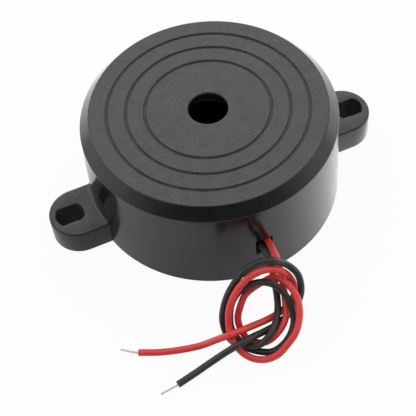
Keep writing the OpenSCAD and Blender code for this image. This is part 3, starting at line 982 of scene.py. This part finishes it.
class Inside:
    """The inner pieces, which keep their solids and get their finishes."""

    FINISHES = {
        "rear_cover": COVER_PLASTIC,
        "diaphragm_plate": BRASS,
        "piezo_ceramic": SILVERED,
        "mounting_bead": SILICONE,
        "circuit_board": LAMINATE,
        "transistor_body": EPOXY,
        "transistor_legs": TINNED,
        "choke_core": FERRITE,
        "choke_winding": COPPER,
        "choke_pins": TINNED,
        "bias_resistor": BIAS_COAT,
        "bias_resistor_legs": TINNED,
        "feedback_resistor": FEEDBACK_COAT,
        "feedback_resistor_legs": TINNED,
        "diode_body": DIODE_GLASS,
        "diode_legs": TINNED,
        "plate_wire": BLUE_SLEEVE,
        "drive_wire": RED_SLEEVE,
        "feedback_wire": YELLOW_SLEEVE,
        "board_solder": SOLDER,
        "element_solder": SOLDER,
    }

    def dress(self, nodes: dict[str, bpy.types.Object]) -> None:
        """Give each inner piece its finish.

        Args:
            nodes: The frame's objects by name.
        """
        for name, finish in self.FINISHES.items():
            nodes[name].data.materials.clear()
            nodes[name].data.materials.append(finish.material())
            LOG.info("dressed %s in %s", name, finish.name)


@dataclass
class Studio:
    """Pale floor, soft light all round and the photograph's view. Places are in millimetres."""

    focal_px: float = 1095.87
    frame_px: float = 416.0
    sensor_mm: float = 36.0
    right: Triple = (0.91507, -0.39884, -0.05987)
    up: Triple = (0.35756, 0.73361, 0.57790)
    place: Triple = (-38.505, -108.413, 152.080)
    clip_m: Pair = (0.01, 50.0)
    dome_span: Pair = (-0.9, 0.0)
    dome_levels: Pair = (0.1, 1.1)
    glow_heights: Pair = (0.55, 0.0)
    glow_span: Pair = (0.2, 0.7)
    glow_level: float = 3.0
    floor_half: float = 3000.0
    floor_drop: float = 0.02
    floor_tone: float = 0.85
    floor_white: float = 0.94
    # Painted light on the floor, seen only in reflections: a glow that grows brighter towards the right and
    # back.
    painted_light_way: Triple = (0.78, 0.62, 0.0)
    painted_light_span: Pair = (-26.0, 10.0)
    painted_light_levels: Pair = (0.95, 3.6)
    painted_light_share: float = 0.3
    under_part: Pair = (28.6, 2.0)

    def camera(self) -> None:
        """Set the camera."""
        data = bpy.data.cameras.new("view")
        data.sensor_width = self.sensor_mm
        data.lens = self.focal_px / self.frame_px * self.sensor_mm
        data.clip_start, data.clip_end = self.clip_m
        camera = link(bpy.data.objects.new("view", data))
        right, up = Vector(self.right).normalized(), Vector(self.up).normalized()
        turn = Matrix((right, up, right.cross(up))).transposed()
        camera.matrix_world = Matrix.Translation(Vector(self.place) * MM) @ turn.to_4x4()
        bpy.context.scene.camera = camera

    def world(self) -> None:
        """Make the room: white to the eye, bright at the back and the sides, dim towards the camera."""
        world = bpy.data.worlds.new("studio")
        world.use_nodes = True
        bpy.context.scene.world = world
        wiring = Wiring(world.node_tree)
        background = world.node_tree.nodes["Background"]
        way = wiring.add("ShaderNodeTexCoord").outputs["Generated"]
        ahead = Vector((-self.place[0], -self.place[1], 0.0)).normalized()
        facing = wiring.add("ShaderNodeVectorMath", {0: way, 1: ahead}, operation="DOT_PRODUCT")
        away = facing.outputs["Value"]
        height = wiring.add("ShaderNodeSeparateXYZ", {0: way}).outputs[2]
        dome = wiring.ramp(away, *self.dome_span, *self.dome_levels)
        low = wiring.ramp(height, *self.glow_heights, 0.0, 1.0)
        glow = wiring.math("MULTIPLY", low, wiring.ramp(away, *self.glow_span, 0.0, self.glow_level))
        room = wiring.math("ADD", dome, glow)
        seen = wiring.add("ShaderNodeLightPath").outputs["Is Camera Ray"]
        level = wiring.add("ShaderNodeMix", {0: seen, 2: room, 3: 1.0}).outputs[0]
        world.node_tree.links.new(level, background.inputs["Strength"])
        background.inputs["Color"].default_value = (1.0, 1.0, 1.0, 1.0)

    def open_floor(self, wiring: Wiring, place: Socket) -> Socket:
        """Give 0 in a strip under the ears and the body and 1 on the rest of the floor.

        Args:
            wiring: Nodes of the floor's material.
            place: The shaded point.

        Returns:
            The mask.
        """
        axes = wiring.add("ShaderNodeSeparateXYZ", {0: place}).outputs
        half_x, half_y = self.under_part
        past = wiring.math("GREATER_THAN", wiring.math("ABSOLUTE", axes[0]), half_x * MM)
        beside = wiring.math("GREATER_THAN", wiring.math("ABSOLUTE", axes[1]), half_y * MM)
        return wiring.math("MAXIMUM", past, beside)

    def floor_material(self) -> bpy.types.Material:
        """Make a floor that is white to the eye and keeps some shade, and that shows a painted pool of
        light, brighter to the right, in reflections only.

        Returns:
            The floor's material.
        """
        material = bpy.data.materials.new("pale_floor")
        material.use_nodes = True
        material.node_tree.nodes.clear()
        wiring = Wiring(material.node_tree)
        tone = self.floor_tone
        matt = wiring.add("ShaderNodeBsdfDiffuse", {"Color": (tone, tone, tone, 1.0)})
        rays = wiring.add("ShaderNodeLightPath").outputs
        seen = wiring.math("MAXIMUM", rays["Is Camera Ray"], rays["Is Transmission Ray"])
        place = wiring.add("ShaderNodeTexCoord").outputs["Object"]
        # Painted pool of light: glossy rays see the floor glow brighter towards the right and back, though
        # no lamp lights it there.
        across = wiring.add("ShaderNodeVectorMath", {0: place, 1: self.painted_light_way}, operation="DOT_PRODUCT")
        start, end = self.painted_light_span
        painted_light = wiring.ramp(across.outputs["Value"], start * MM, end * MM, *self.painted_light_levels)
        level = wiring.add("ShaderNodeMix", {0: seen, 2: painted_light, 3: 1.0}).outputs[0]
        white = wiring.add("ShaderNodeEmission", {"Color": (1.0, 1.0, 1.0, 1.0), "Strength": level})
        to_eye = wiring.math("MULTIPLY", seen, self.floor_white)
        in_gloss = wiring.math("MULTIPLY", rays["Is Glossy Ray"], self.painted_light_share)
        share = wiring.math("MAXIMUM", to_eye, in_gloss)
        share = wiring.math("MULTIPLY", share, self.open_floor(wiring, place))
        mixed = wiring.add("ShaderNodeMixShader", {0: share, 1: matt.outputs[0], 2: white.outputs[0]})
        wiring.add("ShaderNodeOutputMaterial", {"Surface": mixed.outputs[0]})
        return material

    def floor(self) -> None:
        """Lay the floor just under the part."""
        form = bmesh.new()
        bmesh.ops.create_grid(form, x_segments=1, y_segments=1, size=self.floor_half * MM)
        bmesh.ops.translate(form, verts=form.verts, vec=(0.0, 0.0, -self.floor_drop * MM))
        floor = finish_mesh("floor", form)
        floor.data.materials.append(self.floor_material())

    def build(self) -> None:
        """Set up the whole studio."""
        bpy.context.scene.view_settings.view_transform = "Standard"
        self.camera()
        self.world()
        self.floor()


def node_box(name: str) -> tuple[Vector, Vector]:
    """Give a node's lowest and highest corners in millimetres."""
    low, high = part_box(name)
    return low / MM, high / MM


def main() -> None:
    """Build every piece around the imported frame."""
    logging.basicConfig(level=logging.INFO, format="%(message)s")
    for obj in list(bpy.context.scene.objects):
        bpy.data.objects.remove(obj)
    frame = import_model()
    Studio().build()
    board_top = node_box("circuit_board")[1].z
    solder_end = node_box("board_solder")[0].z
    tree = WireTree()
    red = Lead("red", RED_PVC, RED_ROUTE, end_way=(-2, 1.7, -0.2), hole=(3.7, -10.4),
               length=118.8, board_top=board_top, solder_end=solder_end)
    black = Lead("black", BLACK_PVC, BLACK_ROUTE, end_way=(-3, -0.2, -0.3), hole=(-3.7, -10.4),
                 length=118.5, board_top=board_top, solder_end=solder_end)
    for lead in (red, black):
        LOG.info("laid %s", lead.build(tree).name)
    outside = node_box("housing")[1]
    plate_top = node_box("diaphragm_plate")[1].z
    housing = Housing(base_r=outside.y, body_h=outside.z, tip_x=outside.x,
                      seat_z=plate_top, board_top=board_top)
    LOG.info("moulded %s", housing.build().name)
    Inside().dress(frame["nodes"])


if __name__ == "__main__":
    main()
